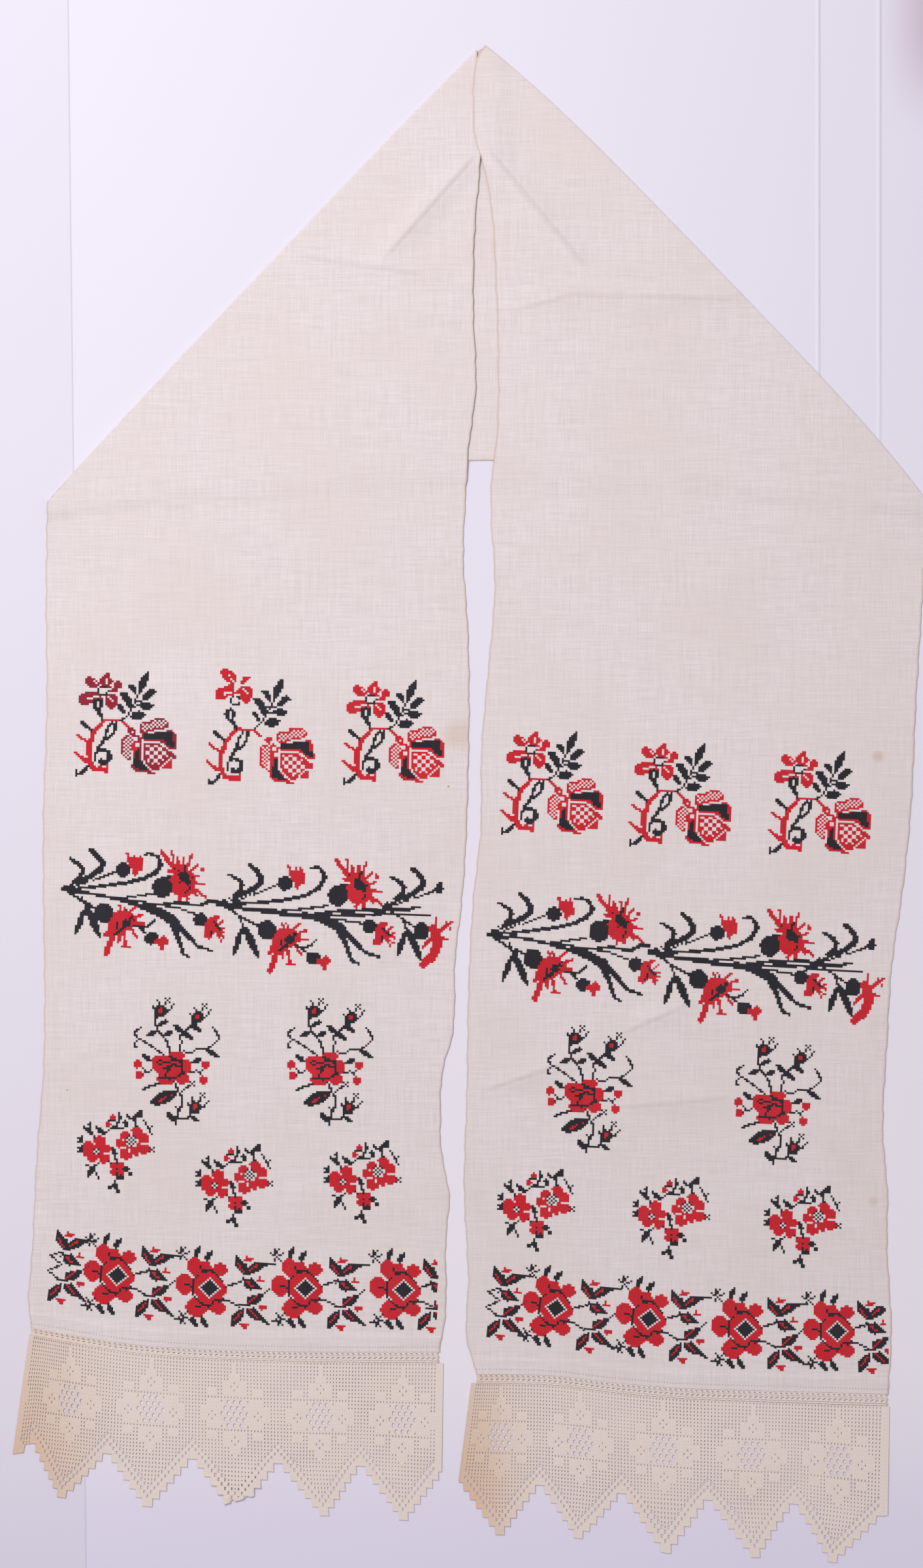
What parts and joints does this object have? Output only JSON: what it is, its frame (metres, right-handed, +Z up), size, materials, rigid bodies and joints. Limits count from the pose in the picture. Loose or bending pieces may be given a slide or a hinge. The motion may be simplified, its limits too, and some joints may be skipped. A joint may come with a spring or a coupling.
{
  "type": "rushnyk ritual towel",
  "caption": "Long embroidered linen towel folded forward at a peak, its two ends lying side by side, each with an openwork heading and a pointed crocheted border.",
  "frame": {"origin": "middle of the outline, on the surface that the towel lies on", "axes": "+Y towards the folded peak, +X to the viewer's right, +Z up out of the surface"},
  "size_m": [0.8674, 1.439, 0.005],
  "materials": {
    "linen": "plain-woven undyed linen with red, wine and black cross-stitch",
    "crochet": "cream cotton crochet with stepped points"
  },
  "bodies": {
    "root": {"cloth": "linen", "heading_left": "crochet", "heading_right": "crochet", "lace_left": "crochet", "lace_right": "crochet"}
  },
  "joints": []
}
